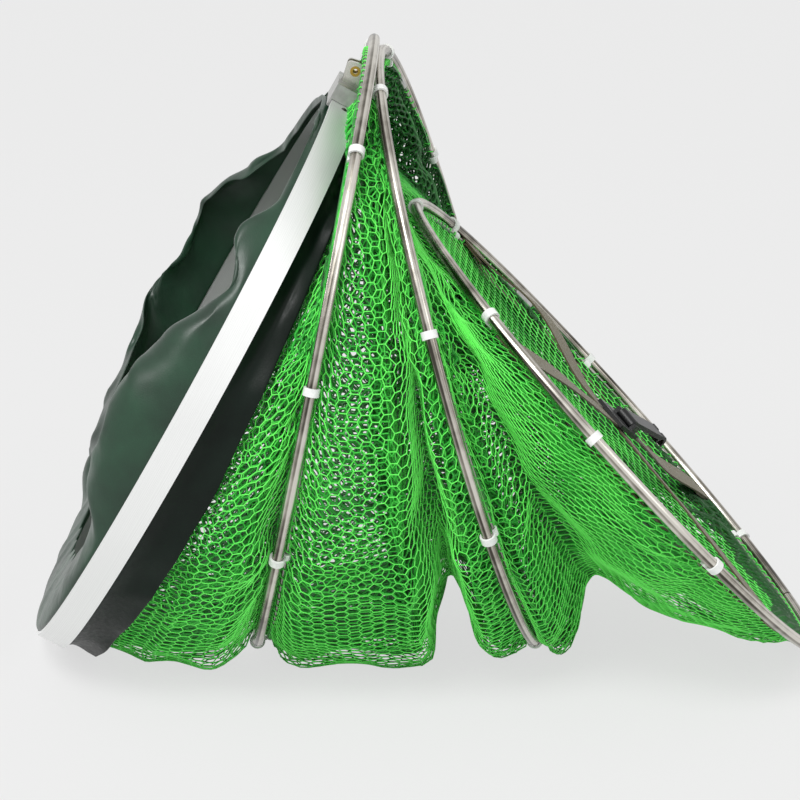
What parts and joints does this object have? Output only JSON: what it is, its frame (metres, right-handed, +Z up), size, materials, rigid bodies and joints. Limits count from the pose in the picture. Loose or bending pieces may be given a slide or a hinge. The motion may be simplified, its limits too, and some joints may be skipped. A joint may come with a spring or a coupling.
{
  "type": "keep net",
  "caption": "Round collapsible keep net standing open like a fan: band mouth hoop with leathercloth collar, netted tube hoops, webbing base with a hook.",
  "frame": {"origin": "on the floor under the middle of the object's box", "axes": "+X from the mouth to the closed end, +Y across, +Z up"},
  "size_m": [0.5121, 0.4058, 0.3953],
  "materials": {
    "hoop_band": "brushed, clear anodised",
    "head_casting": "satin, die cast",
    "ear_plate": "bright plated",
    "bush": "turned",
    "rivet": "dark",
    "leathercloth": "soft sheen, coated cloth",
    "tube": "bright drawn",
    "wire": "drawn",
    "ferrule": "crimped",
    "clip": "moulded, white",
    "netting": "knotless cord mesh",
    "webbing": "woven",
    "buckle": "moulded, black"
  },
  "bodies": {
    "mouth": {"mouth_band": "hoop_band", "head_block": "head_casting", "head_ears": "ear_plate", "ear_bushes": "bush", "band_rivets": "rivet", "front_collar": "leathercloth", "rear_skirt": "leathercloth"},
    "front_hoop": {"front_hoop_tube": "tube", "front_hoop_spigot": "tube", "front_wire_ring": "wire", "front_wire_ferrule": "ferrule", "front_hoop_clips": "clip", "front_net": "netting"},
    "back_hoop": {"back_hoop_tube": "tube", "back_hoop_spigot": "tube", "back_wire_ring": "wire", "back_wire_ferrule": "ferrule", "back_hoop_clips": "clip", "middle_net": "netting"},
    "last_hoop": {"last_hoop_tube": "tube", "last_hoop_spigot": "tube", "last_wire_ring": "wire", "last_wire_ferrule": "ferrule", "last_hoop_clips": "clip", "end_net": "netting", "base_net": "netting", "cross_strap": "webbing", "hook_strap": "webbing", "strap_buckle": "buckle", "hook_pin": "rivet"},
    "hook": {"strap_hook": "buckle"}
  },
  "joints": [
    {"name": "mouth_fold", "type": "hinge", "parent": "front_hoop", "child": "mouth", "pos_m": [-0.0571, 0, 0.31], "axis": [0, -1, 0], "range_deg": [0, 16], "deforming": ["front_net", "rear_skirt"]},
    {"name": "middle_fold", "type": "hinge", "parent": "front_hoop", "child": "back_hoop", "pos_m": [-0.0311, 0, 0.35], "axis": [0, 1, 0], "range_deg": [0, 22], "deforming": ["middle_net"]},
    {"name": "end_fold", "type": "hinge", "parent": "back_hoop", "child": "last_hoop", "pos_m": [0.0229, 0, 0.24], "axis": [0, 1, 0], "range_deg": [0, 18], "deforming": ["end_net"]},
    {"name": "hook_lift", "type": "hinge", "parent": "last_hoop", "child": "hook", "pos_m": [0.13141, 0.00103, 0.14442], "axis": [0.5521, -0.6134, -0.5648], "range_deg": [0, 100]}
  ]
}
